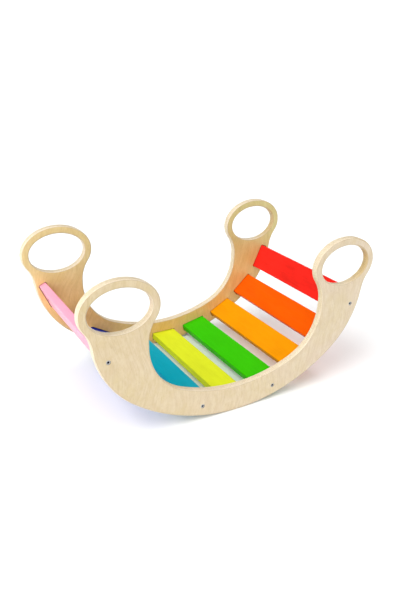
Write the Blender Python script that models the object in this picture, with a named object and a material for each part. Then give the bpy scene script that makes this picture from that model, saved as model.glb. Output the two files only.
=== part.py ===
"""A child's rocker seesaw: two plywood rocker sides joined by nine painted slats.

The sides stand across Y, the slats run along Y, and the rocker rocks along X.
The origin is on the floor under the middle, +Z is up, and the red end is at +X.
Every length is in metres.
"""

from math import asin, atan2, cos, pi, radians, sin, sqrt, tau

import bmesh
import bpy
from mathutils import Matrix, Vector

# ---------------------------------------------------------------- rocker sides
SIDE_THICKNESS = 0.018          # birch plywood
SEAT_WIDTH = 0.386              # clear space between the two sides
EDGE_ROUND = 0.0035             # round-over along every edge of a side
ROUND_STEPS = 2                 # facets across one round-over
CHORD = 0.018                   # length of one facet along an outline

# Lower edge of a side: a flat foot, a rolling arc, then a tighter arc up the flank.
FOOT_LENGTH = 0.020
ROLL_RADIUS = 0.447
ROLL_SWEEP = radians(38.5)
FLANK_RADIUS = 0.233
FLANK_FILLET = 0.090            # blends the flank into the ring

# Upper edge of a side: the hollow over the seat.
HOLLOW_HEIGHT = 0.068
HOLLOW_RADIUS = 0.385
HOLLOW_SWEEP = radians(23.3)
CORNER_RADIUS = 0.1386
NECK_FILLET = 0.090             # blends the neck into the ring

# Ring handle at each end of a side, round an oval hand hole.
RING_CENTRE = Vector((0.300, 0.3245))
HOLE_HALF_LENGTH = 0.0725
HOLE_HALF_HEIGHT = 0.0502
RING_WALL = 0.0195

# ----------------------------------------------------------------------- slats
SLAT_WIDTH = 0.069
SLAT_THICKNESS = 0.019
SLAT_EDGE_ROUND = 0.0025
MORTISE_DEPTH = 0.006
FIT_GAP = 0.0004                # between a slat and its mortise, all round

# Middle of each slat's upper face (x, z) and its slope, from the middle slat outwards.
SLAT_PLACES = (
    (0.0000, 0.0345, radians(0)),
    (0.0985, 0.0475, radians(13)),
    (0.1895, 0.0805, radians(29)),
    (0.2665, 0.1400, radians(43)),
    (0.3222, 0.2190, radians(66)),
)

# Names and paint of the slats, from the -X end to the +X end.
SLAT_PAINTS = (
    ("pink", (0.90, 0.46, 0.60)),
    ("purple", (0.19, 0.06, 0.33)),
    ("blue", (0.02, 0.03, 0.40)),
    ("teal", (0.01, 0.37, 0.48)),
    ("yellow", (0.80, 0.83, 0.03)),
    ("green", (0.05, 0.60, 0.01)),
    ("orange", (0.98, 0.33, 0.01)),
    ("dark_orange", (0.98, 0.12, 0.01)),
    ("red", (0.95, 0.03, 0.02)),
)
BOLTED_SLATS = (1, 4)           # places in SLAT_PLACES of the slats that bolts pull in

# ---------------------------------------- M6 cap-head bolts and their barrel nuts
BOLT_LENGTH = 0.045             # below the head
BOLT_RADIUS = 0.0030
HEAD_RADIUS = 0.0050
HEAD_HEIGHT = 0.0060
HEAD_CHAMFER = 0.0005
HEAD_SINK = 0.0004              # the head stays this far below the wood
SOCKET_WIDTH = 0.005            # across the flats of the hexagon
SOCKET_DEPTH = 0.0030
NUT_RADIUS = 0.0050
NUT_LENGTH = 0.0135
NUT_DEPTH = 0.030               # from the slat's end to the nut's axis
NUT_SLOT_WIDTH = 0.0012
NUT_SLOT_DEPTH = 0.0012
BORE_GAP = 0.0004               # round a bolt or nut in its hole
BORE_SPARE = 0.0015             # a blind bore is deeper than what it takes by this
ROUND_SIDES = 16                # sides of a turned piece
REACH = 0.002                   # a cutter stands proud of the face it opens by this

SIDE_INNER_Y = SEAT_WIDTH / 2
SIDE_OUTER_Y = SIDE_INNER_Y + SIDE_THICKNESS
SLAT_LENGTH = SEAT_WIDTH + 2 * (MORTISE_DEPTH - FIT_GAP)
HEAD_SEAT = HEAD_SINK + HEAD_HEIGHT
BOLT_REACH = HEAD_SEAT + BOLT_LENGTH


def clear_scene():
    """Remove every object of the startup file."""
    for item in list(bpy.data.objects):
        bpy.data.objects.remove(item, do_unlink=True)


def paint(name, colour, roughness, metallic=0.0):
    """Make a Principled material."""
    material = bpy.data.materials.new(name)
    material.use_nodes = True
    shader = material.node_tree.nodes["Principled BSDF"]
    shader.inputs["Base Color"].default_value = (*colour, 1.0)
    shader.inputs["Roughness"].default_value = roughness
    shader.inputs["Metallic"].default_value = metallic
    return material


def new_object(name, build, material):
    """Turn a bmesh into an object with its normals outside."""
    bmesh.ops.recalc_face_normals(build, faces=build.faces)
    mesh = bpy.data.meshes.new(name)
    build.to_mesh(mesh)
    build.free()
    item = bpy.data.objects.new(name, mesh)
    bpy.context.scene.collection.objects.link(item)
    if material:
        mesh.materials.append(material)
    mesh.shade_smooth()
    mesh.set_sharp_from_angle(angle=radians(35))
    return item


def cut(item, cutter):
    """Cut a hidden cutter out of an object."""
    cutter.hide_render = True
    cutter.display_type = "WIRE"
    modifier = item.modifiers.new(cutter.name, "BOOLEAN")
    modifier.operation = "DIFFERENCE"
    modifier.solver = "EXACT"
    modifier.object = cutter


# -------------------------------------------------------------- side outlines
def arc(centre, radius, start, end):
    """Points on an arc, by angles from straight down that turn towards +X."""
    steps = max(2, round(abs(end - start) * radius / CHORD))
    angles = [start + (end - start) * i / steps for i in range(steps + 1)]
    return [centre + radius * Vector((sin(a), -cos(a))) for a in angles]


def angle_from(centre, point):
    """The angle of a point round a centre, as arc() counts it."""
    return atan2(point.x - centre.x, centre.y - point.y)


def oval(half_length, half_height, start=0.0, end=tau):
    """Points on the ring's oval, by angles from +X that turn towards +Z."""
    steps = round(abs(end - start) * (half_length + half_height) / 2 / CHORD)
    angles = [start + (end - start) * i / steps for i in range(steps + 1)]
    return [RING_CENTRE + Vector((half_length * cos(a), half_height * sin(a))) for a in angles]


def fillet_centre(angle, radius):
    """Centre of a circle that touches the outside of the ring at an angle."""
    length = HOLE_HALF_LENGTH + RING_WALL
    height = HOLE_HALF_HEIGHT + RING_WALL
    touch = RING_CENTRE + Vector((length * cos(angle), height * sin(angle)))
    outwards = Vector((cos(angle) / length, sin(angle) / height)).normalized()
    return touch + radius * outwards


def solve(miss, low, high):
    """The angle between low and high where miss() changes sign, by halving."""
    for _ in range(50):
        middle = (low + high) / 2
        if (miss(low) < 0) == (miss(middle) < 0):
            low = middle
        else:
            high = middle
    return (low + high) / 2


def half_outline():
    """The +X half of a side's outline, from the foot round the ring to the hollow."""
    roll_centre = Vector((0, sqrt(ROLL_RADIUS**2 - (FOOT_LENGTH / 2) ** 2)))
    roll_start = asin(FOOT_LENGTH / 2 / ROLL_RADIUS)
    turn = Vector((sin(ROLL_SWEEP), -cos(ROLL_SWEEP)))
    flank_centre = roll_centre + (ROLL_RADIUS - FLANK_RADIUS) * turn

    hollow_centre = Vector((0, HOLLOW_HEIGHT + HOLLOW_RADIUS))
    turn = Vector((sin(HOLLOW_SWEEP), -cos(HOLLOW_SWEEP)))
    corner_centre = hollow_centre + (HOLLOW_RADIUS - CORNER_RADIUS) * turn
    neck_x = corner_centre.x + CORNER_RADIUS

    def flank_miss(angle):
        gap = (fillet_centre(angle, FLANK_FILLET) - flank_centre).length
        return gap - FLANK_RADIUS - FLANK_FILLET

    def neck_miss(angle):
        return fillet_centre(angle, NECK_FILLET).x - (neck_x - NECK_FILLET)

    ring_start = solve(flank_miss, -pi / 2, 0)
    ring_end = solve(neck_miss, -pi, -pi / 2)
    flank_blend = fillet_centre(ring_start, FLANK_FILLET)
    neck_blend = fillet_centre(ring_end, NECK_FILLET)
    # The ring is drawn through its outermost and its highest point, so its box is exact.
    length = HOLE_HALF_LENGTH + RING_WALL
    height = HOLE_HALF_HEIGHT + RING_WALL
    ring = oval(length, height, ring_start, 0)
    ring += oval(length, height, 0, pi / 2)[1:]
    ring += oval(length, height, pi / 2, ring_end + tau)[1:]
    flank_end = angle_from(flank_centre, flank_blend)
    flank_back = flank_end - pi
    blend_end = angle_from(flank_blend, ring[0])
    pieces = (
        arc(roll_centre, ROLL_RADIUS, roll_start, ROLL_SWEEP),
        arc(flank_centre, FLANK_RADIUS, ROLL_SWEEP, flank_end)[1:],
        arc(flank_blend, FLANK_FILLET, flank_back, blend_end)[1:],
        ring[1:],
        arc(neck_blend, NECK_FILLET, angle_from(neck_blend, ring[-1]), pi / 2)[1:],
        arc(corner_centre, CORNER_RADIUS, pi / 2, HOLLOW_SWEEP),
        arc(hollow_centre, HOLLOW_RADIUS, HOLLOW_SWEEP, 0)[1:],
    )
    return [point for piece in pieces for point in piece]


def mirrored(points):
    """Points reflected to the other end, in the opposite order."""
    return [Vector((-p.x, p.y)) for p in reversed(points)]


def side_loops():
    """A side's closed loops of (x, z) points: its outline and its two hand holes."""
    right = half_outline()
    outline = right + mirrored(right)[1:]
    hole = oval(HOLE_HALF_LENGTH, HOLE_HALF_HEIGHT)[:-1]
    return outline, list(reversed(hole)), list(reversed(mirrored(hole)))


def inset(points, distance):
    """Move a loop's points into the material, which lies on their left."""
    moved = []
    for i, point in enumerate(points):
        back = (point - points[i - 1]).normalized()
        ahead = (points[(i + 1) % len(points)] - point).normalized()
        along = (back + ahead).normalized()
        left = Vector((-along.y, along.x))
        moved.append(point + left * distance / max(0.5, along.dot(back)))
    return moved


def make_side_blank(name, material, y_middle):
    """A side with its outline, hand holes and round-over, before any cut."""
    half = SIDE_THICKNESS / 2
    profile = []
    for i in range(ROUND_STEPS + 1):
        angle = i * pi / 2 / ROUND_STEPS
        depth = EDGE_ROUND * (1 - sin(angle))
        profile.append((depth, half - EDGE_ROUND * (1 - cos(angle))))
    levels = [(depth, -y) for depth, y in profile] + list(reversed(profile))

    build = bmesh.new()
    caps = ([], [])
    for loop in side_loops():
        rings = []
        for depth, y in levels:
            points = inset(loop, depth)
            rings.append([build.verts.new((p.x, y_middle + y, p.y)) for p in points])
        for low, high in zip(rings, rings[1:]):
            for i in range(len(loop)):
                build.faces.new((low[i - 1], low[i], high[i], high[i - 1]))
        for cap, ring in zip(caps, (rings[0], rings[-1])):
            cap.extend(build.edges.get((ring[i - 1], ring[i])) for i in range(len(ring)))
    for cap in caps:
        bmesh.ops.triangle_fill(build, use_beauty=True, use_dissolve=False, edges=cap)
    return new_object(name, build, material)


# ------------------------------------------------------------- slats and hardware
def slat_frame(place, end):
    """World matrix of a slat: local X across it, Y along it, Z out of its upper face."""
    x, z, slope = SLAT_PLACES[place]
    return Matrix.Translation((end * x, 0, z)) @ Matrix.Rotation(-end * slope, 4, "Y")


def rounded_bar(build, frame, width, thickness, length, rounding, centre_y=0.0):
    """Add a closed bar with rounded long edges, its upper face at local Z = 0."""
    half = width / 2 - rounding
    section = []
    for quarter in range(4):
        corner_x = half if quarter in (0, 3) else -half
        corner_z = -rounding if quarter in (0, 1) else rounding - thickness
        for step in range(3):
            angle = (quarter + step / 2) * pi / 2
            section.append((corner_x + rounding * cos(angle), corner_z + rounding * sin(angle)))
    ends = []
    for y in (centre_y - length / 2, centre_y + length / 2):
        ends.append([build.verts.new(frame @ Vector((x, y, z))) for x, z in section])
    build.faces.new(ends[0])
    build.faces.new(reversed(ends[1]))
    for i in range(len(section)):
        build.faces.new((ends[0][i - 1], ends[1][i - 1], ends[1][i], ends[0][i]))


def turned(build, frame, profile):
    """Add a closed body turned round local Z from (radius, height) points."""
    rings = []
    for radius, height in profile:
        angles = [tau * i / ROUND_SIDES for i in range(ROUND_SIDES)]
        ring = [Vector((radius * cos(a), radius * sin(a), height)) for a in angles]
        rings.append([build.verts.new(frame @ point) for point in ring])
    build.faces.new(rings[0])
    build.faces.new(reversed(rings[-1]))
    for low, high in zip(rings, rings[1:]):
        for i in range(ROUND_SIDES):
            build.faces.new((low[i - 1], high[i - 1], high[i], low[i]))


def prism(build, frame, outline, low, high):
    """Add a closed prism on an (x, y) outline, between two local heights."""
    rings = [[build.verts.new(frame @ Vector((x, y, z))) for x, y in outline] for z in (low, high)]
    build.faces.new(rings[0])
    build.faces.new(reversed(rings[1]))
    for i in range(len(outline)):
        build.faces.new((rings[0][i - 1], rings[1][i - 1], rings[1][i], rings[0][i]))


def bolt_frame(place, end, side):
    """World matrix of a bolt: the origin on the side's outer face, Z pointing out."""
    axis = slat_frame(place, end) @ Vector((0, side * SIDE_OUTER_Y, -SLAT_THICKNESS / 2))
    return Matrix.Translation(axis) @ Matrix.Rotation(-side * pi / 2, 4, "X")


def nut_frame(place, end, side):
    """World matrix of a barrel nut: the origin in its middle, Z out of the slat."""
    y = side * (SLAT_LENGTH / 2 - NUT_DEPTH)
    return slat_frame(place, end) @ Matrix.Translation((0, y, -SLAT_THICKNESS / 2))


def make_side(name, side, material):
    """One rocker side with its mortises on the inside and bolt holes right through."""
    item = make_side_blank(name, material, side * (SIDE_INNER_Y + SIDE_THICKNESS / 2))
    build = bmesh.new()
    for place in range(len(SLAT_PLACES)):
        for end in (-1, 1) if place else (1,):
            lifted = slat_frame(place, end) @ Matrix.Translation((0, 0, FIT_GAP))
            rounded_bar(
                build,
                lifted,
                SLAT_WIDTH + 2 * FIT_GAP,
                SLAT_THICKNESS + 2 * FIT_GAP,
                MORTISE_DEPTH + REACH,
                SLAT_EDGE_ROUND + FIT_GAP,
                side * (SIDE_INNER_Y + (MORTISE_DEPTH - REACH) / 2),
            )
    mortises = new_object(name + "_mortise_cutter", build, None)
    cut(item, mortises)

    build = bmesh.new()
    for place in BOLTED_SLATS:
        for end in (-1, 1):
            shank = BOLT_RADIUS + BORE_GAP
            head = HEAD_RADIUS + BORE_GAP
            seat = -HEAD_SEAT - BORE_GAP
            profile = [(shank, -SIDE_THICKNESS), (shank, seat), (head, seat), (head, REACH)]
            turned(build, bolt_frame(place, end, side), profile)
    bores = new_object(name + "_bolt_cutter", build, None)
    cut(item, bores)
    return item


def make_slat(name, place, end, material):
    """One slat, with bores for two bolts and their barrel nuts where it is bolted."""
    build = bmesh.new()
    frame = slat_frame(place, end)
    rounded_bar(build, frame, SLAT_WIDTH, SLAT_THICKNESS, SLAT_LENGTH, SLAT_EDGE_ROUND)
    item = new_object(name, build, material)
    if place not in BOLTED_SLATS:
        return item
    bolt_bores = bmesh.new()
    nut_bores = bmesh.new()
    for side in (-1, 1):
        radius = BOLT_RADIUS + BORE_GAP
        bottom = -BOLT_REACH - BORE_SPARE
        mouth = REACH - SIDE_THICKNESS + MORTISE_DEPTH
        turned(bolt_bores, bolt_frame(place, end, side), [(radius, bottom), (radius, mouth)])
        radius = NUT_RADIUS + BORE_GAP
        top = NUT_LENGTH / 2 + BORE_GAP
        mouth = -SLAT_THICKNESS / 2 - REACH
        turned(nut_bores, nut_frame(place, end, side), [(radius, mouth), (radius, top)])
    cut(item, new_object(name + "_bolt_cutter", bolt_bores, None))
    cut(item, new_object(name + "_nut_cutter", nut_bores, None))
    return item


def make_bolt(name, place, end, side, material):
    """One cap-head bolt with a hexagon socket."""
    frame = bolt_frame(place, end, side)
    build = bmesh.new()
    tip_chamfer = BOLT_RADIUS / 4
    profile = [
        (BOLT_RADIUS - tip_chamfer, -BOLT_REACH),
        (BOLT_RADIUS, tip_chamfer - BOLT_REACH),
        (BOLT_RADIUS, -HEAD_SEAT),
        (HEAD_RADIUS, -HEAD_SEAT),
        (HEAD_RADIUS, -HEAD_SINK - HEAD_CHAMFER),
        (HEAD_RADIUS - HEAD_CHAMFER, -HEAD_SINK),
    ]
    turned(build, frame, profile)
    item = new_object(name, build, material)
    socket = bmesh.new()
    corner = SOCKET_WIDTH / sqrt(3)
    outline = [(corner * cos(i * pi / 3), corner * sin(i * pi / 3)) for i in range(6)]
    prism(socket, frame, outline, -HEAD_SINK - SOCKET_DEPTH, REACH)
    cut(item, new_object(name + "_socket_cutter", socket, None))
    return item


def make_nut(name, place, end, side, material):
    """One barrel nut, with the bolt's cross hole and a screwdriver slot below."""
    frame = nut_frame(place, end, side)
    build = bmesh.new()
    turned(build, frame, [(NUT_RADIUS, -NUT_LENGTH / 2), (NUT_RADIUS, NUT_LENGTH / 2)])
    item = new_object(name, build, material)
    cross = bmesh.new()
    along = frame @ Matrix.Rotation(pi / 2, 4, "X")
    radius = BOLT_RADIUS + BORE_GAP
    reach = NUT_RADIUS + REACH
    turned(cross, along, [(radius, -reach), (radius, reach)])
    cut(item, new_object(name + "_thread_cutter", cross, None))
    slot = bmesh.new()
    half = NUT_SLOT_WIDTH / 2
    outline = [(-half, -reach), (half, -reach), (half, reach), (-half, reach)]
    bottom = -NUT_LENGTH / 2
    prism(slot, frame, outline, bottom - REACH, bottom + NUT_SLOT_DEPTH)
    cut(item, new_object(name + "_slot_cutter", slot, None))
    return item


def main():
    """Build the whole rocker."""
    clear_scene()
    birch = paint("birch_plywood", (0.80, 0.65, 0.44), 0.45)
    zinc = paint("zinc_plated_steel", (0.62, 0.62, 0.60), 0.35, 1.0)
    side_names = {-1: "front", 1: "rear"}
    for side, word in side_names.items():
        make_side(word + "_rocker_side", side, birch)

    middle = len(SLAT_PAINTS) // 2
    for index, (colour_name, colour) in enumerate(SLAT_PAINTS):
        place = abs(index - middle)
        end = -1 if index < middle else 1
        slat_paint = paint(colour_name + "_paint", colour, 0.35)
        make_slat(colour_name + "_slat", place, end, slat_paint)
        if place in BOLTED_SLATS:
            for side, word in side_names.items():
                label = word + "_" + colour_name
                make_bolt(label + "_bolt", place, end, side, zinc)
                make_nut(label + "_barrel_nut", place, end, side, zinc)


main()
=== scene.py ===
"""Looks of a child's rocker seesaw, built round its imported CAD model. Lengths are in metres."""

from math import atan2, cos, floor, pi, radians, sin, sqrt, tau

import bmesh
import bpy
from mathutils import Matrix, Vector


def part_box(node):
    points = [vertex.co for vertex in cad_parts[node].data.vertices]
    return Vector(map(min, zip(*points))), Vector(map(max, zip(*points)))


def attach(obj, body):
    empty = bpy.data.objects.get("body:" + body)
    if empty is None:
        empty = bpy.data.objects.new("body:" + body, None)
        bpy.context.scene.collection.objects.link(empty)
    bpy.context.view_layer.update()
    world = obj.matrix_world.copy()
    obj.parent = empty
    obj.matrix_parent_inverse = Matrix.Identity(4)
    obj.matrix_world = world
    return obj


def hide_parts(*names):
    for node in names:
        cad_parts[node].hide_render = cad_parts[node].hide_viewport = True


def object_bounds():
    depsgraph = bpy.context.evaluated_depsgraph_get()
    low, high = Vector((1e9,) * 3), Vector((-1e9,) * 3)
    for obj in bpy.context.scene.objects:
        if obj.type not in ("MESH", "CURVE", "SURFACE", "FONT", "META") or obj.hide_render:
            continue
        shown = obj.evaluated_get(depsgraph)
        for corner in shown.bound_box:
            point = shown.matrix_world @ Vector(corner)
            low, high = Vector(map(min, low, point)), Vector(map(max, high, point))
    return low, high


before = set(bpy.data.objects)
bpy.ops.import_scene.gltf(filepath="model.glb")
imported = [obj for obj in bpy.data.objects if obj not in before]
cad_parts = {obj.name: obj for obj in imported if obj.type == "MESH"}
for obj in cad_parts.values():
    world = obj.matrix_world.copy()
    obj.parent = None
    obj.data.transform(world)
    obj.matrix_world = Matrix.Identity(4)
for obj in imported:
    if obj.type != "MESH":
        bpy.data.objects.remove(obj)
cad_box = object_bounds()

# ------------------------------------------------------------- the rocker's shape
# Outline of a side, as in the CAD source: a foot, arcs, two fillets and an oval ring.
FOOT_LENGTH = 0.020
ROLL_RADIUS = 0.447
ROLL_SWEEP = radians(38.5)
FLANK_RADIUS = 0.233
FLANK_FILLET = 0.090
HOLLOW_HEIGHT = 0.068
HOLLOW_RADIUS = 0.385
HOLLOW_SWEEP = radians(23.3)
CORNER_RADIUS = 0.1386
NECK_FILLET = 0.090
RING_CENTRE = Vector((0.300, 0.3245))
HOLE_HALF_LENGTH = 0.0725
HOLE_HALF_HEIGHT = 0.0502
RING_WALL = 0.0195
EDGE_ROUND = 0.0035             # round-over of every edge of a side
ROUND_STEPS = 8
CHORD = 0.003                   # length of one facet along an outline
PLIES = 11

SLAT_ROUND = 0.0025             # round-over of a slat's long edges
SLAT_ROUND_STEPS = 6
MORTISE_GAP = 0.0016            # open line round a slat's end
MORTISE_DEPTH = 0.006

# M6 cap-head bolts and barrel nuts.
BOLT_RADIUS = 0.0030
HEAD_HEIGHT = 0.0060
HEAD_CHAMFER = 0.0005
SOCKET_WIDTH = 0.005
SOCKET_DEPTH = 0.0030
SOCKET_CHAMFER = 0.0002
THREAD_PITCH = 0.001
THREAD_DEPTH = 0.0005
THREAD_LENGTH = 0.030
THREAD_ROWS = 5                 # rows of points to one turn
NUT_SLOT_WIDTH = 0.0012
NUT_SLOT_DEPTH = 0.0012
NUT_CHAMFER = 0.0005
BORE_GAP = 0.0004
HEAD_GAP = 0.0002
TURNED_SIDES = 40
THREAD_SIDES = 20
NECK_HEIGHT = 0.0003            # the flare between a bolt's shank and its head
NECK_FLARE = 0.0004
LEAD_FLARE = 0.0003             # how far the cutter of a socket's chamfer opens
LEAD_HEIGHT = 0.0001            # and stands proud of the head
REACH = 0.002                   # a cutter stands proud of the face it opens by this

# Paint of each slat, in linear light.
PAINTS = {
    "pink": (0.82, 0.31, 0.42),
    "purple": (0.17, 0.05, 0.33),
    "blue": (0.006, 0.028, 0.34),
    "teal": (0.001, 0.36, 0.47),
    "yellow": (0.64, 0.72, 0.018),
    "green": (0.034, 0.47, 0.001),
    "orange": (0.78, 0.272, 0.001),
    "dark_orange": (0.78, 0.092, 0.001),
    "red": (0.78, 0.019, 0.012),
}
GLOSS = {"pink": 0.15}          # a paint's specular level
PLAIN_GLOSS = 0.05
PATCHY = {"red": 0.80, "dark_orange": 0.86, "orange": 0.90}     # a paint's darker patches
PLAIN_PATCHY = 0.93
BOLTED = ("pink", "teal", "green", "red")

# Birch veneer and plies, in linear light.
VENEER_PINK = (0.670, 0.545, 0.385)
VENEER_GOLD = (0.655, 0.538, 0.332)
VENEER_PALE = (0.715, 0.610, 0.455)
VENEER_TAN = (0.555, 0.425, 0.255)
VENEER_BROWN = (0.430, 0.300, 0.165)
INNER_HIGH = (1.02, 0.96, 0.66)     # tint of the inner faces, at ring height: a darker sheet, plus painted light bounced warm off the slats
INNER_LOW_SHADE = (1.24, 0.93, 0.53)      # and lower down: painted shade, with warm light bounced off the slats
INNER_RIGHT_SHADE = (0.88, 0.98, 0.92)    # painted shade on the inner faces at the +X end
LEFT_TINT = (0.97, 0.95, 0.87)      # tint of the outer faces at the -X end
RIGHT_TINT = (1.00, 1.01, 1.08)     # and at the +X end
RING_EDGE_SHADE = (0.84, 0.74, 0.52)    # painted shade, golden brown, on the edges beyond the middle of the +X rings
CORE_TINT = (0.90, 0.88, 0.82)      # tint of the square part of an edge, between its round-overs
PLY_LONG = (0.900, 0.835, 0.700)
PLY_CROSS = (0.690, 0.565, 0.390)
PLY_DARK = (0.500, 0.350, 0.170)
GLUE_LINE = (0.300, 0.180, 0.080)
SANDED_AND_SHADED = (0.72, 0.66, 0.58)         # tint of the round-overs: partly the glue line that sanding bares, partly painted shade damping their highlight
# painted shade, near black, on the walls of the mortises and bores
RECESS_SHADE_COLOUR = (0.022, 0.011, 0.006)
# painted shade, near black, inside a bolt's hex socket
SOCKET_SHADE_COLOUR = (0.007, 0.007, 0.012)

# -------------------------------------------------------------- camera and light
CAMERA_PLACE = Vector((-0.741, -1.2825, 0.854))
CAMERA_TURN = radians(-30.37)   # round +Z, from looking along +Y
CAMERA_DIP = radians(23.57)     # below the horizon
CAMERA_ROLL = radians(1.23)
CAMERA_LENS = 37.4              # millimetres on a 36 mm long side
FLOOR_SIZE = 60.0
SKY_LOW = 0.30                  # the studio's brightness at the horizon
SKY_HIGH = 1.17                 # overhead
SKY_BEHIND = 0.03               # and behind the rocker, as a share of the rest
KEY_TURN = radians(-76)         # round +Z, from a light that shines along +Y
KEY_HEIGHT = radians(46)
KEY_SPREAD = radians(40)
KEY_LIGHT = 1.9
FILL_TURN = radians(-20)
FILL_HEIGHT = radians(36)
FILL_SPREAD = radians(70)
FILL_LIGHT = 0.72
BACK_TURN = radians(145)
BACK_HEIGHT = radians(42)
BACK_SPREAD = radians(60)
BACK_LIGHT = 0.4
SIDE_PLACE = Vector((-1.30, -0.15, 0.45))
SIDE_AIM = Vector((-0.30, 0.0, 0.25))
SIDE_SIZE = 0.5
SIDE_LIGHT = 4.2                # watts
FLOOR_TONE = (0.890, 0.910, 0.912)
FLOOR_TONE_PALE = (0.900, 0.920, 0.922)
BACKDROP = 1.1


# ------------------------------------------------------------------ node helpers
def node(tree, kind, inputs=None, **settings):
    """Add a node, set or link its inputs, and return its first output."""
    made = tree.nodes.new(kind)
    for name, value in settings.items():
        setattr(made, name, value)
    for socket, value in (inputs or {}).items():
        if isinstance(value, bpy.types.NodeSocket):
            tree.links.new(value, made.inputs[socket])
        else:
            made.inputs[socket].default_value = value
    return made.outputs[0]


def calc(tree, operation, first, second=0.0, clamp=False):
    """A Math node's output."""
    return node(tree, "ShaderNodeMath", {0: first, 1: second}, operation=operation, use_clamp=clamp)


def noise(tree, place, scale, detail=3.0, roughness=0.55):
    """Noise in 0 to 1 at a place."""
    inputs = {"Vector": place, "Scale": scale, "Detail": detail, "Roughness": roughness}
    return node(tree, "ShaderNodeTexNoise", inputs)


def stretched(tree, place, scale, shift=(0.0, 0.0, 0.0)):
    """A place moved and scaled along the axes."""
    return node(tree, "ShaderNodeMapping", {"Vector": place, "Location": shift, "Scale": scale})


def spread(tree, value, low, high, to_low=0.0, to_high=1.0):
    """A value mapped from one range to another, and held there."""
    inputs = {0: value, 1: low, 2: high, 3: to_low, 4: to_high}
    return node(tree, "ShaderNodeMapRange", inputs)


def blend(tree, factor, first, second, mode="MIX"):
    """Two colours mixed by a factor."""
    made = tree.nodes.new("ShaderNodeMix")
    made.data_type = "RGBA"
    made.blend_type = mode
    for socket, value in ((0, factor), (6, first), (7, second)):
        if isinstance(value, bpy.types.NodeSocket):
            tree.links.new(value, made.inputs[socket])
        elif socket == 0:
            made.inputs[socket].default_value = value
        else:
            made.inputs[socket].default_value = (*value, 1.0)
    return made.outputs[2]


def new_material(name, **values):
    """A Principled material; returns it with its tree, shader and object coordinates."""
    material = bpy.data.materials.new(name)
    material.use_nodes = True
    tree = material.node_tree
    shader = tree.nodes["Principled BSDF"]
    for socket, value in values.items():
        shader.inputs[socket.replace("_", " ")].default_value = value
    place = tree.nodes.new("ShaderNodeTexCoord").outputs["Object"]
    return material, tree, shader, place


def bump(tree, shader, height, distance, strength=1.0):
    """Feed a height to the shader's normal."""
    inputs = {"Height": height, "Distance": distance, "Strength": strength}
    tree.links.new(node(tree, "ShaderNodeBump", inputs), shader.inputs["Normal"])


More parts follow.
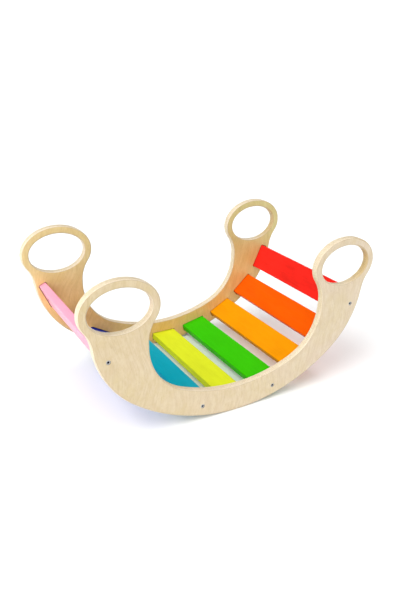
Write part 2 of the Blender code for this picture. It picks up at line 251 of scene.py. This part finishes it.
# --------------------------------------------------------------------- materials
def birch_material(name, shift, inner_y, thickness):
    """Lacquered birch plywood: upright veneer grain on the faces, stacked plies on the edges."""
    material, tree, shader, place = new_material(name, Specular_IOR_Level=0.4)
    moved = stretched(tree, place, (1, 1, 1), shift)

    # The veneer is peeled off a log, so its grain sways and its figure closes in contours.
    lean = noise(tree, stretched(tree, moved, (1, 0, 1)), 4.0, 1.0)
    lean = calc(tree, "MULTIPLY", calc(tree, "SUBTRACT", lean, 0.5), 0.16)
    lean = node(tree, "ShaderNodeCombineXYZ", {0: lean})
    waved = node(tree, "ShaderNodeVectorMath", {0: moved, 1: lean}, operation="ADD")
    fibres = noise(tree, stretched(tree, waved, (1, 1, 0.03)), 800.0, 3.0, 0.6)
    streaks = noise(tree, stretched(tree, waved, (1, 1, 0.07)), 190.0, 3.0, 0.6)
    contours = noise(tree, stretched(tree, waved, (1, 1, 0.30)), 9.0, 2.0, 0.45)
    contours = calc(tree, "SINE", calc(tree, "MULTIPLY", contours, 95.0))
    clouds = noise(tree, waved, 13.0, 3.0, 0.6)
    patches = noise(tree, stretched(tree, moved, (1, 1, 0.6)), 75.0, 3.0, 0.6)
    specks = noise(tree, stretched(tree, moved, (1, 1, 0.5)), 330.0, 2.0, 0.6)
    flecks = noise(tree, stretched(tree, waved, (1, 1, 0.12)), 650.0, 1.0, 0.5)

    tone = blend(tree, spread(tree, clouds, 0.36, 0.64), VENEER_PINK, VENEER_GOLD)
    tone = blend(tree, spread(tree, patches, 0.40, 0.66, 0.0, 0.7), tone, VENEER_PALE)
    tone = blend(tree, spread(tree, specks, 0.48, 0.72, 0.0, 0.30), tone, VENEER_TAN)
    tone = blend(tree, spread(tree, contours, 0.1, 1.0, 0.0, 0.22), tone, VENEER_TAN)
    tone = blend(tree, spread(tree, streaks, 0.46, 0.74, 0.0, 0.42), tone, VENEER_TAN)
    tone = blend(tree, spread(tree, fibres, 0.48, 0.76, 0.0, 0.30), tone, VENEER_BROWN)
    tone = blend(tree, spread(tree, flecks, 0.68, 0.78, 0.0, 0.45), tone, VENEER_BROWN)

    # The better veneer faces out, and a darker sheet faces in; the inner tints also paint shade and
    # warm light bounced off the slats, more of it lower down, darker at the +X end.
    x, y, z = node(tree, "ShaderNodeSeparateXYZ", {0: place}).node.outputs
    normal = tree.nodes.new("ShaderNodeNewGeometry").outputs["True Normal"]
    facing = node(tree, "ShaderNodeSeparateXYZ", {0: normal}).node
    across = calc(tree, "MULTIPLY", facing.outputs[1], calc(tree, "SIGN", y))
    inward = spread(tree, across, -0.6, -0.9)
    inner_tone_and_shade = blend(tree, spread(tree, z, 0.30, 0.17), INNER_HIGH, INNER_LOW_SHADE)
    right_inner_shade = blend(tree, 1.0, inner_tone_and_shade, INNER_RIGHT_SHADE, "MULTIPLY")
    inner_tone_and_shade = blend(tree, spread(tree, x, 0.05, 0.25), inner_tone_and_shade, right_inner_shade)
    outer_tint = blend(tree, spread(tree, x, -0.35, 0.35), LEFT_TINT, RIGHT_TINT)
    face = blend(tree, 1.0, tone, blend(tree, inward, outer_tint, inner_tone_and_shade), "MULTIPLY")

    # Depth into the sheet counts the plies; every second ply shows its end grain here.
    depth = calc(tree, "SUBTRACT", calc(tree, "ABSOLUTE", y), inner_y)
    layer = calc(tree, "MULTIPLY", depth, PLIES / thickness)
    crossed = calc(tree, "GREATER_THAN", calc(tree, "MODULO", layer, 2.0), 1.0)
    edge_grain = noise(tree, stretched(tree, moved, (1, 0.25, 1)), 420.0, 3.0, 0.6)
    edge_patches = noise(tree, stretched(tree, moved, (1, 4, 1)), 38.0, 2.0, 0.5)
    edge = blend(tree, crossed, PLY_LONG, PLY_CROSS)
    edge = blend(tree, spread(tree, edge_patches, 0.5, 0.7, 0.0, 0.5), edge, PLY_CROSS)
    edge = blend(tree, spread(tree, edge_grain, 0.45, 0.75, 0.0, 0.40), edge, PLY_DARK)
    glue = calc(tree, "PINGPONG", layer, 0.5)
    glue = spread(tree, glue, 0.07, 0.02)
    glue = calc(tree, "MULTIPLY", glue, calc(tree, "GREATER_THAN", layer, 0.5))
    glue = calc(tree, "MULTIPLY", glue, calc(tree, "LESS_THAN", layer, PLIES - 0.5))
    edge = blend(tree, calc(tree, "MULTIPLY", glue, 0.6), edge, GLUE_LINE)
    # Painted shade: the edges past the middle of the +X rings, their hole walls among them, turn
    # golden brown.
    ring_edge_shaded = blend(tree, 1.0, edge, RING_EDGE_SHADE, "MULTIPLY")
    edge = blend(tree, spread(tree, x, 0.31, 0.36), edge, ring_edge_shaded)
    flatness = calc(tree, "ABSOLUTE", facing.outputs[1])
    core = spread(tree, flatness, 0.30, 0.05)
    edge = blend(tree, core, edge, blend(tree, 1.0, edge, CORE_TINT, "MULTIPLY"))
    wood = blend(tree, spread(tree, flatness, 0.90, 0.985), edge, face)
    # The round-overs are darkened: partly the glue that sanding through the face veneer bares, partly
    # painted shade that damps their highlight.
    sanded_and_shaded = spread(tree, flatness, 0.25, 0.80)
    sanded_and_shaded = calc(tree, "MULTIPLY", sanded_and_shaded, spread(tree, flatness, 0.998, 0.985))
    wood = blend(tree, sanded_and_shaded, wood, blend(tree, 1.0, wood, SANDED_AND_SHADED, "MULTIPLY"))
    tree.links.new(wood, shader.inputs["Base Color"])

    gloss = spread(tree, streaks, 0.3, 0.7, 0.34, 0.46)
    tree.links.new(gloss, shader.inputs["Roughness"])
    grain = calc(tree, "ADD", fibres, calc(tree, "MULTIPLY", edge_grain, 0.5))
    bump(tree, shader, grain, 0.00010, 0.5)
    return material


def paint_material(paint):
    """Satin paint on a planed pine slat, whose grain runs along Y and shows faintly."""
    name = paint + "_coat"
    colour = PAINTS[paint]
    gloss = GLOSS.get(paint, PLAIN_GLOSS)
    material, tree, shader, place = new_material(name, Specular_IOR_Level=gloss)
    shift = (len(name) * 1.7, 0.3, colour[0] * 5)
    moved = stretched(tree, place, (1, 1, 1), shift)
    grain = noise(tree, stretched(tree, moved, (1, 0.04, 1)), 260.0, 3.0, 0.6)
    mottle = noise(tree, stretched(tree, moved, (1, 0.35, 1)), 38.0, 4.0, 0.6)
    peel = noise(tree, moved, 900.0, 1.0, 0.5)
    deep = tuple(c * PATCHY.get(paint, PLAIN_PATCHY) for c in colour)
    pale = tuple(min(1.0, c * 1.05 + 0.003) for c in colour)
    tone = blend(tree, spread(tree, mottle, 0.40, 0.68), colour, deep)
    tone = blend(tree, spread(tree, grain, 0.50, 0.75, 0.0, 0.6), tone, pale)
    tree.links.new(tone, shader.inputs["Base Color"])
    tree.links.new(spread(tree, mottle, 0.3, 0.7, 0.30, 0.42), shader.inputs["Roughness"])
    height = calc(tree, "ADD", grain, calc(tree, "MULTIPLY", peel, 0.35))
    bump(tree, shader, height, 0.00010, 0.5)
    return material


def painted_shade_material(name, colour, grain_scale):
    """A dark matt material of painted shade, for the inside of a socket and of the mortises and bores.
    """
    material, tree, shader, place = new_material(name, Specular_IOR_Level=0.2)
    shade_speckle = noise(tree, stretched(tree, place, grain_scale), 900.0, 2.0)
    tone = blend(tree, shade_speckle, tuple(c * 0.6 for c in colour), tuple(c * 1.4 for c in colour))
    tree.links.new(tone, shader.inputs["Base Color"])
    tree.links.new(spread(tree, shade_speckle, 0.3, 0.7, 0.55, 0.75), shader.inputs["Roughness"])
    return material


def zinc_material():
    """Zinc-plated steel with turning marks and a faint cloudiness."""
    material, tree, shader, place = new_material("zinc_plate", Metallic=1.0)
    clouds = noise(tree, place, 300.0, 3.0, 0.6)
    turning = noise(tree, stretched(tree, place, (0.15, 4.0, 0.15)), 1500.0, 2.0, 0.5)
    tone = blend(tree, clouds, (0.50, 0.50, 0.51), (0.42, 0.43, 0.45))
    tree.links.new(tone, shader.inputs["Base Color"])
    tree.links.new(spread(tree, clouds, 0.3, 0.7, 0.34, 0.48), shader.inputs["Roughness"])
    bump(tree, shader, turning, 0.00003, 0.5)
    return material


# ------------------------------------------------------------------ mesh helpers
def to_object(name, build, material=None):
    """An object made from a bmesh, with its normals outside."""
    bmesh.ops.recalc_face_normals(build, faces=build.faces)
    mesh = bpy.data.meshes.new(name)
    build.to_mesh(mesh)
    build.free()
    if material:
        mesh.materials.append(material)
    item = bpy.data.objects.new(name, mesh)
    bpy.context.scene.collection.objects.link(item)
    return item


def cut(item, *cutters):
    """Cut closed bodies out of an object and keep the result as its mesh."""
    for cutter in cutters:
        modifier = item.modifiers.new("cut", "BOOLEAN")
        modifier.operation = "DIFFERENCE"
        modifier.solver = "EXACT"
        modifier.material_mode = "TRANSFER"
        modifier.object = cutter
    depsgraph = bpy.context.evaluated_depsgraph_get()
    whole = item.data
    item.data = bpy.data.meshes.new_from_object(item.evaluated_get(depsgraph))
    item.modifiers.clear()
    bpy.data.meshes.remove(whole)
    for cutter in cutters:
        bpy.data.objects.remove(cutter)


def finish_piece(item, node_name):
    """Shade a piece, and let it ride in place of its CAD node."""
    mesh = item.data
    mesh.shade_smooth()
    mesh.set_sharp_from_angle(angle=radians(35))
    weighted = item.modifiers.new("weighted", "WEIGHTED_NORMAL")
    weighted.keep_sharp = True
    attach(item, "root")
    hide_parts(node_name)


def turned(build, place, profile, sides=TURNED_SIDES):
    """Add a closed body turned round local Z from (radius, height) points, lowest first."""
    rings = []
    for radius, height in profile:
        angles = [tau * i / sides for i in range(sides)]
        ring = [Vector((radius * cos(a), radius * sin(a), height)) for a in angles]
        rings.append([build.verts.new(place @ point) for point in ring])
    build.faces.new(rings[0])
    build.faces.new(reversed(rings[-1]))
    for low, high in zip(rings, rings[1:]):
        for i in range(sides):
            build.faces.new((low[i - 1], high[i - 1], high[i], low[i]))


def prism(build, place, outline, low, high):
    """Add a closed prism on an (x, y) outline, between two local heights."""
    rings = []
    for height in (low, high):
        rings.append([build.verts.new(place @ Vector((x, y, height))) for x, y in outline])
    build.faces.new(rings[0])
    build.faces.new(reversed(rings[1]))
    for i in range(len(outline)):
        build.faces.new((rings[0][i - 1], rings[1][i - 1], rings[1][i], rings[0][i]))


def bar_section(width, thickness, rounding, steps):
    """Outline of a bar with rounded corners, its upper face at height 0."""
    half = width / 2 - rounding
    section = []
    for quarter in range(4):
        corner_x = half if quarter in (0, 3) else -half
        corner_z = -rounding if quarter in (0, 1) else rounding - thickness
        for step in range(steps + 1):
            angle = (quarter + step / steps) * pi / 2
            section.append((corner_x + rounding * cos(angle), corner_z + rounding * sin(angle)))
    return section


def bar(build, place, section, low_y, high_y, cuts=1):
    """Add a closed bar along local Y, in a number of equal lengths."""
    rings = []
    for i in range(cuts + 1):
        y = low_y + (high_y - low_y) * i / cuts
        rings.append([build.verts.new(place @ Vector((x, y, z))) for x, z in section])
    build.faces.new(rings[0])
    build.faces.new(reversed(rings[-1]))
    for low, high in zip(rings, rings[1:]):
        for i in range(len(section)):
            build.faces.new((low[i - 1], high[i - 1], high[i], low[i]))


# --------------------------------------------------------------- rocker sides
def arc(centre, radius, start, end):
    """Points on an arc, by angles from straight down that turn towards +X."""
    steps = max(2, round(abs(end - start) * radius / CHORD))
    angles = [start + (end - start) * i / steps for i in range(steps + 1)]
    return [centre + radius * Vector((sin(a), -cos(a))) for a in angles]


def angle_from(centre, point):
    """The angle of a point round a centre, as arc() counts it."""
    return atan2(point.x - centre.x, centre.y - point.y)


def oval(half_length, half_height, start=0.0, end=tau):
    """Points on the ring's oval, by angles from +X that turn towards +Z."""
    steps = round(abs(end - start) * (half_length + half_height) / 2 / CHORD)
    angles = [start + (end - start) * i / steps for i in range(steps + 1)]
    return [RING_CENTRE + Vector((half_length * cos(a), half_height * sin(a))) for a in angles]


def fillet_centre(angle, radius):
    """Centre of a circle that touches the outside of the ring at an angle."""
    length = HOLE_HALF_LENGTH + RING_WALL
    height = HOLE_HALF_HEIGHT + RING_WALL
    touch = RING_CENTRE + Vector((length * cos(angle), height * sin(angle)))
    outwards = Vector((cos(angle) / length, sin(angle) / height)).normalized()
    return touch + radius * outwards


def solve(miss, low, high):
    """The angle between low and high where miss() changes sign, by halving."""
    for _ in range(50):
        middle = (low + high) / 2
        if (miss(low) < 0) == (miss(middle) < 0):
            low = middle
        else:
            high = middle
    return (low + high) / 2


def half_outline():
    """The +X half of a side's outline, from the foot round the ring to the hollow."""
    foot_angle = FOOT_LENGTH / 2 / ROLL_RADIUS
    roll_centre = Vector((0, sqrt(ROLL_RADIUS**2 - (FOOT_LENGTH / 2) ** 2)))
    turn = Vector((sin(ROLL_SWEEP), -cos(ROLL_SWEEP)))
    flank_centre = roll_centre + (ROLL_RADIUS - FLANK_RADIUS) * turn
    hollow_centre = Vector((0, HOLLOW_HEIGHT + HOLLOW_RADIUS))
    turn = Vector((sin(HOLLOW_SWEEP), -cos(HOLLOW_SWEEP)))
    corner_centre = hollow_centre + (HOLLOW_RADIUS - CORNER_RADIUS) * turn
    neck_x = corner_centre.x + CORNER_RADIUS

    def flank_miss(angle):
        gap = (fillet_centre(angle, FLANK_FILLET) - flank_centre).length
        return gap - FLANK_RADIUS - FLANK_FILLET

    def neck_miss(angle):
        return fillet_centre(angle, NECK_FILLET).x - (neck_x - NECK_FILLET)

    ring_start = solve(flank_miss, -pi / 2, 0)
    ring_end = solve(neck_miss, -pi, -pi / 2)
    flank_blend = fillet_centre(ring_start, FLANK_FILLET)
    neck_blend = fillet_centre(ring_end, NECK_FILLET)
    # The ring is drawn through its outermost and its highest point, so its box is exact.
    length = HOLE_HALF_LENGTH + RING_WALL
    height = HOLE_HALF_HEIGHT + RING_WALL
    ring = oval(length, height, ring_start, 0)
    ring += oval(length, height, 0, pi / 2)[1:]
    ring += oval(length, height, pi / 2, ring_end + tau)[1:]
    flank_end = angle_from(flank_centre, flank_blend)
    pieces = (
        arc(roll_centre, ROLL_RADIUS, foot_angle, ROLL_SWEEP),
        arc(flank_centre, FLANK_RADIUS, ROLL_SWEEP, flank_end)[1:],
        arc(flank_blend, FLANK_FILLET, flank_end - pi, angle_from(flank_blend, ring[0]))[1:],
        ring[1:],
        arc(neck_blend, NECK_FILLET, angle_from(neck_blend, ring[-1]), pi / 2)[1:],
        arc(corner_centre, CORNER_RADIUS, pi / 2, HOLLOW_SWEEP),
        arc(hollow_centre, HOLLOW_RADIUS, HOLLOW_SWEEP, 0)[1:],
    )
    return [point for piece in pieces for point in piece]


def mirrored(points):
    """Points reflected to the other end, in the opposite order."""
    return [Vector((-p.x, p.y)) for p in reversed(points)]


def side_loops():
    """A side's closed loops of (x, z) points: its outline and its two hand holes."""
    right = half_outline()
    hole = oval(HOLE_HALF_LENGTH, HOLE_HALF_HEIGHT)[:-1]
    return right + mirrored(right)[1:], list(reversed(hole)), list(reversed(mirrored(hole)))


def inset(points, distance):
    """Move a loop's points into the material, which lies on their left."""
    moved = []
    for i, point in enumerate(points):
        back = (point - points[i - 1]).normalized()
        ahead = (points[(i + 1) % len(points)] - point).normalized()
        along = (back + ahead).normalized()
        left = Vector((-along.y, along.x))
        moved.append(point + left * distance / max(0.5, along.dot(back)))
    return moved


def side_blank(name, middle_y, thickness, material):
    """A side with its outline, hand holes and round-over, before any cut."""
    half = thickness / 2
    profile = []
    for i in range(ROUND_STEPS + 1):
        angle = i * pi / 2 / ROUND_STEPS
        profile.append((EDGE_ROUND * (1 - sin(angle)), half - EDGE_ROUND * (1 - cos(angle))))
    levels = [(depth, -y) for depth, y in profile] + list(reversed(profile))
    build = bmesh.new()
    caps = ([], [])
    for loop in side_loops():
        rings = []
        for depth, y in levels:
            points = inset(loop, depth)
            rings.append([build.verts.new((p.x, middle_y + y, p.y)) for p in points])
        for low, high in zip(rings, rings[1:]):
            for i in range(len(loop)):
                build.faces.new((low[i - 1], low[i], high[i], high[i - 1]))
        for cap, ring in zip(caps, (rings[0], rings[-1])):
            cap.extend(build.edges.get((ring[i - 1], ring[i])) for i in range(len(ring)))
    for cap in caps:
        bmesh.ops.triangle_fill(build, use_beauty=True, use_dissolve=False, edges=cap)
    return to_object(name, build, material)


def slat_place(paint):
    """A slat's matrix at the middle of its upper face (X across, Y along, Z out), width, thickness."""
    node_name = paint + "_slat"
    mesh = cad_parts[node_name].data
    upper = max(mesh.polygons, key=lambda face: face.area * (face.normal.z > 0))
    out = Vector((upper.normal.x, 0, upper.normal.z)).normalized()
    low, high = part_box(node_name)
    middle = (low + high) / 2
    across = Vector((0, 1, 0)).cross(out)
    turn = Matrix((across, (0, 1, 0), out)).transposed().to_4x4()
    corners = [v.co - middle for v in mesh.vertices]
    width = 2 * max(c.dot(across) for c in corners)
    thickness = 2 * max(c.dot(out) for c in corners)
    place = Matrix.Translation(middle + out * thickness / 2) @ turn
    return place, width, thickness


def bolt_place(word, paint):
    """A bolt's matrix with its origin in the middle of the head's top and Z out, with its sizes."""
    low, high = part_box(f"{word}_{paint}_bolt")
    side = -1 if word == "front" else 1
    outer = low.y if side < 0 else high.y
    top = Vector(((low.x + high.x) / 2, outer, (low.z + high.z) / 2))
    place = Matrix.Translation(top) @ Matrix.Rotation(-side * pi / 2, 4, "X")
    return place, high.y - low.y, (high.x - low.x) / 2


def make_side(word, material, recess_shade):
    """One rocker side, with mortises on its inside and counterbored bolt holes."""
    node_name = word + "_rocker_side"
    low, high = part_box(node_name)
    side = -1 if word == "front" else 1
    inner = high.y if side < 0 else low.y
    item = side_blank(word + "_side", (low.y + high.y) / 2, high.y - low.y, material)
    mortises = bmesh.new()
    for paint in PAINTS:
        place, width, thickness = slat_place(paint)
        lifted = place @ Matrix.Translation((0, 0, MORTISE_GAP))
        wide = width + 2 * MORTISE_GAP
        thick = thickness + 2 * MORTISE_GAP
        section = bar_section(wide, thick, SLAT_ROUND + MORTISE_GAP, SLAT_ROUND_STEPS)
        ends = sorted((inner - side * REACH, inner + side * MORTISE_DEPTH))
        bar(mortises, lifted, section, *ends)
    bores = bmesh.new()
    for paint in BOLTED:
        place, _, head = bolt_place(word, paint)
        head += HEAD_GAP
        shank = BOLT_RADIUS + BORE_GAP
        seat = -HEAD_HEIGHT - BORE_GAP
        bottom = low.y - high.y
        profile = [(shank, bottom), (shank, seat), (head, seat), (head, REACH)]
        turned(bores, place, profile)
    # The walls of the mortises and bolt bores take the near-black painted shade.
    cut(item, to_object("mortises", mortises, recess_shade), to_object("bores", bores, recess_shade))
    finish_piece(item, node_name)


# ------------------------------------------------------------- slats and hardware
def make_slat(paint, material, recess_shade):
    """One painted slat, with open bores under it for its barrel nuts."""
    node_name = paint + "_slat"
    place, width, thickness = slat_place(paint)
    low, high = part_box(node_name)
    section = bar_section(width, thickness, SLAT_ROUND, SLAT_ROUND_STEPS)
    build = bmesh.new()
    bar(build, place, section, low.y, high.y)
    item = to_object(paint + "_board", build, material)
    if paint in BOLTED:
        bolts = bmesh.new()
        nuts = bmesh.new()
        for word in ("front", "rear"):
            bolt, length, _ = bolt_place(word, paint)
            radius = BOLT_RADIUS + BORE_GAP
            turned(bolts, bolt, [(radius, -length - REACH), (radius, -HEAD_HEIGHT)])
            nut, nut_length, nut_radius = nut_place(word, paint)
            radius = nut_radius + BORE_GAP
            top = nut_length / 2 + BORE_GAP
            turned(nuts, nut, [(radius, -thickness / 2 - REACH), (radius, top)])
        # The walls of these bores take the near-black painted shade.
        cut(item, to_object("bolt_bores", bolts, recess_shade), to_object("nut_bores", nuts, recess_shade))
    finish_piece(item, node_name)


def nut_place(word, paint):
    """A barrel nut's matrix with its origin in its middle and Z out of the slat, with its sizes."""
    node_name = f"{word}_{paint}_barrel_nut"
    low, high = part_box(node_name)
    turn = slat_place(paint)[0].to_3x3()
    out = turn.col[2]
    middle = (low + high) / 2
    length = 2 * max((v.co - middle).dot(out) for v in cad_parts[node_name].data.vertices)
    return Matrix.Translation(middle) @ turn.to_4x4(), length, (high.y - low.y) / 2


def make_bolt(word, paint, material, dark):
    """One cap-head bolt: chamfered head, hexagon socket and a rolled thread."""
    place, length, head = bolt_place(word, paint)
    build = bmesh.new()
    rings = []
    heights = [(THREAD_DEPTH, -length), (0, -length + THREAD_DEPTH)]
    rows = round(THREAD_LENGTH / THREAD_PITCH * THREAD_ROWS)
    sides = THREAD_SIDES
    for row in range(rows + 1):
        turn = row / THREAD_ROWS
        fade = min(1.0, row / THREAD_ROWS, (rows - row) / THREAD_ROWS)
        ring = []
        for i in range(sides):
            phase = turn - i / sides
            groove = 1 - abs(2 * (phase - floor(phase)) - 1)
            radius = BOLT_RADIUS - THREAD_DEPTH * (fade * groove + (1 - fade) * (row < rows / 2))
            angle = tau * i / sides
            height = -length + row * THREAD_PITCH / THREAD_ROWS
            ring.append(place @ Vector((radius * cos(angle), radius * sin(angle), height)))
        rings.append([build.verts.new(point) for point in ring])
    for radius, height in (
        (BOLT_RADIUS, -HEAD_HEIGHT - NECK_HEIGHT),
        (BOLT_RADIUS + NECK_FLARE, -HEAD_HEIGHT),
        (head - HEAD_CHAMFER / 2, -HEAD_HEIGHT),
        (head, -HEAD_HEIGHT + HEAD_CHAMFER / 2),
        (head, -HEAD_CHAMFER),
        (head - HEAD_CHAMFER * 0.3, -HEAD_CHAMFER * 0.3),
        (head - HEAD_CHAMFER, 0),
    ):
        angles = [tau * i / sides for i in range(sides)]
        ring = [place @ Vector((radius * cos(a), radius * sin(a), height)) for a in angles]
        rings.append([build.verts.new(point) for point in ring])
    build.faces.new(rings[0])
    build.faces.new(reversed(rings[-1]))
    for low, high in zip(rings, rings[1:]):
        for i in range(sides):
            build.faces.new((low[i - 1], high[i - 1], high[i], low[i]))
    item = to_object(f"{word}_{paint}_screw", build, material)
    socket = bmesh.new()
    corner = SOCKET_WIDTH / sqrt(3)
    outline = [(corner * cos(i * pi / 3), corner * sin(i * pi / 3)) for i in range(6)]
    prism(socket, place, outline, -SOCKET_DEPTH, REACH)
    lead = bmesh.new()
    narrow = (corner - SOCKET_CHAMFER, -2 * SOCKET_CHAMFER)
    turned(lead, place, [narrow, (corner + LEAD_FLARE, LEAD_HEIGHT)])
    # The socket's walls take the near-black painted shade.
    cut(item, to_object("socket", socket, dark), to_object("lead", lead, material))
    finish_piece(item, f"{word}_{paint}_bolt")


def make_nut(word, paint, material):
    """One barrel nut with chamfered ends, a plain cross hole and a screwdriver slot."""
    place, length, radius = nut_place(word, paint)
    half = length / 2
    build = bmesh.new()
    profile = [
        (radius - NUT_CHAMFER, -half),
        (radius, NUT_CHAMFER - half),
        (radius, half - NUT_CHAMFER),
        (radius - NUT_CHAMFER, half),
    ]
    turned(build, place, profile)
    item = to_object(f"{word}_{paint}_dowel", build, material)
    cross = bmesh.new()
    bore = BOLT_RADIUS + BORE_GAP
    reach = radius + REACH
    turned(cross, place @ Matrix.Rotation(pi / 2, 4, "X"), [(bore, -reach), (bore, reach)])
    slot = bmesh.new()
    wide = NUT_SLOT_WIDTH / 2
    outline = [(-wide, -reach), (wide, -reach), (wide, reach), (-wide, reach)]
    prism(slot, place, outline, -half - REACH, NUT_SLOT_DEPTH - half)
    cut(item, to_object("cross", cross, material), to_object("slot", slot, material))
    finish_piece(item, f"{word}_{paint}_barrel_nut")


# ------------------------------------------------------------------ stage
def make_camera():
    """The camera, turned, dipped and rolled from its own settings."""
    data = bpy.data.cameras.new("camera")
    data.lens = CAMERA_LENS
    data.sensor_width = 36.0
    data.clip_start = 0.01
    camera = bpy.data.objects.new("camera", data)
    bpy.context.scene.collection.objects.link(camera)
    turn = Matrix.Rotation(CAMERA_TURN, 4, "Z") @ Matrix.Rotation(pi / 2 - CAMERA_DIP, 4, "X")
    turn = turn @ Matrix.Rotation(CAMERA_ROLL, 4, "Z")
    camera.matrix_world = Matrix.Translation(CAMERA_PLACE) @ turn
    bpy.context.scene.camera = camera


def make_floor():
    """A plain pale floor."""
    material, tree, shader, place = new_material("floor", Roughness=0.8, Specular_IOR_Level=0.05)
    tone = noise(tree, place, 2.0, 2.0)
    tree.links.new(blend(tree, tone, FLOOR_TONE, FLOOR_TONE_PALE), shader.inputs["Base Color"])
    build = bmesh.new()
    bmesh.ops.create_grid(build, x_segments=1, y_segments=1, size=FLOOR_SIZE / 2)
    floor_item = to_object("floor", build)
    floor_item.location.z = cad_box[0].z
    floor_item.data.materials.append(material)


def make_soft_sun(name, turn, height, spread_angle, power, glossy=True):
    """A soft distant light, turned round +Z and raised over the horizon."""
    data = bpy.data.lights.new(name, "SUN")
    data.energy = power
    data.angle = spread_angle
    item = bpy.data.objects.new(name, data)
    bpy.context.scene.collection.objects.link(item)
    dip = Matrix.Rotation(pi / 2 - height, 4, "X")
    item.matrix_world = Matrix.Rotation(turn, 4, "Z") @ dip
    item.visible_glossy = glossy


def make_side_light():
    """A soft light close to the -X end, so that the light falls off along the rocker."""
    data = bpy.data.lights.new("side", "AREA")
    data.energy = SIDE_LIGHT
    data.size = SIDE_SIZE
    item = bpy.data.objects.new("side", data)
    bpy.context.scene.collection.objects.link(item)
    turn = (SIDE_AIM - SIDE_PLACE).to_track_quat("-Z", "Y").to_matrix().to_4x4()
    item.matrix_world = Matrix.Translation(SIDE_PLACE) @ turn
    item.visible_camera = False


def make_light():
    """A studio that is bright overhead and dark behind, with key, fill, back and side lights."""
    world = bpy.data.worlds.new("studio")
    bpy.context.scene.world = world
    world.use_nodes = True
    tree = world.node_tree
    sky = tree.nodes["Background"]
    direction = tree.nodes.new("ShaderNodeTexCoord").outputs["Generated"]
    direction = node(tree, "ShaderNodeSeparateXYZ", {0: direction}).node.outputs
    strength = spread(tree, direction[2], 0.0, 1.0, SKY_LOW, SKY_HIGH)
    behind = spread(tree, direction[1], 0.15, 0.60, 1.0, SKY_BEHIND)
    strength = calc(tree, "MULTIPLY", strength, behind)
    is_camera = node(tree, "ShaderNodeLightPath")
    strength = node(tree, "ShaderNodeMix", {0: is_camera, 2: strength, 3: BACKDROP})
    tree.links.new(strength, sky.inputs["Strength"])
    sky.inputs["Color"].default_value = (1.0, 1.0, 1.0, 1.0)
    make_soft_sun("key", KEY_TURN, KEY_HEIGHT, KEY_SPREAD, KEY_LIGHT)
    make_soft_sun("fill", FILL_TURN, FILL_HEIGHT, FILL_SPREAD, FILL_LIGHT)
    make_soft_sun("back", BACK_TURN, BACK_HEIGHT, BACK_SPREAD, BACK_LIGHT, glossy=False)
    make_side_light()


def main():
    """Build the scene round the imported CAD model."""
    bpy.context.scene.view_settings.view_transform = "Standard"
    make_camera()
    make_floor()
    make_light()
    recess_shade = painted_shade_material("painted_recess_shade", RECESS_SHADE_COLOUR, (1, 0.2, 0.2))
    for word, shift in (("front", (0.0, 0.0, 0.0)), ("rear", (3.1, 0.0, 1.7))):
        low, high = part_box(word + "_rocker_side")
        inner_y = min(abs(low.y), abs(high.y))
        birch = birch_material(word + "_birch", shift, inner_y, high.y - low.y)
        make_side(word, birch, recess_shade)
    for paint in PAINTS:
        make_slat(paint, paint_material(paint), recess_shade)
    zinc = zinc_material()
    dark = painted_shade_material("painted_socket_shade", SOCKET_SHADE_COLOUR, (1, 1, 1))
    for word in ("front", "rear"):
        for paint in BOLTED:
            make_bolt(word, paint, zinc, dark)
            make_nut(word, paint, zinc)


main()
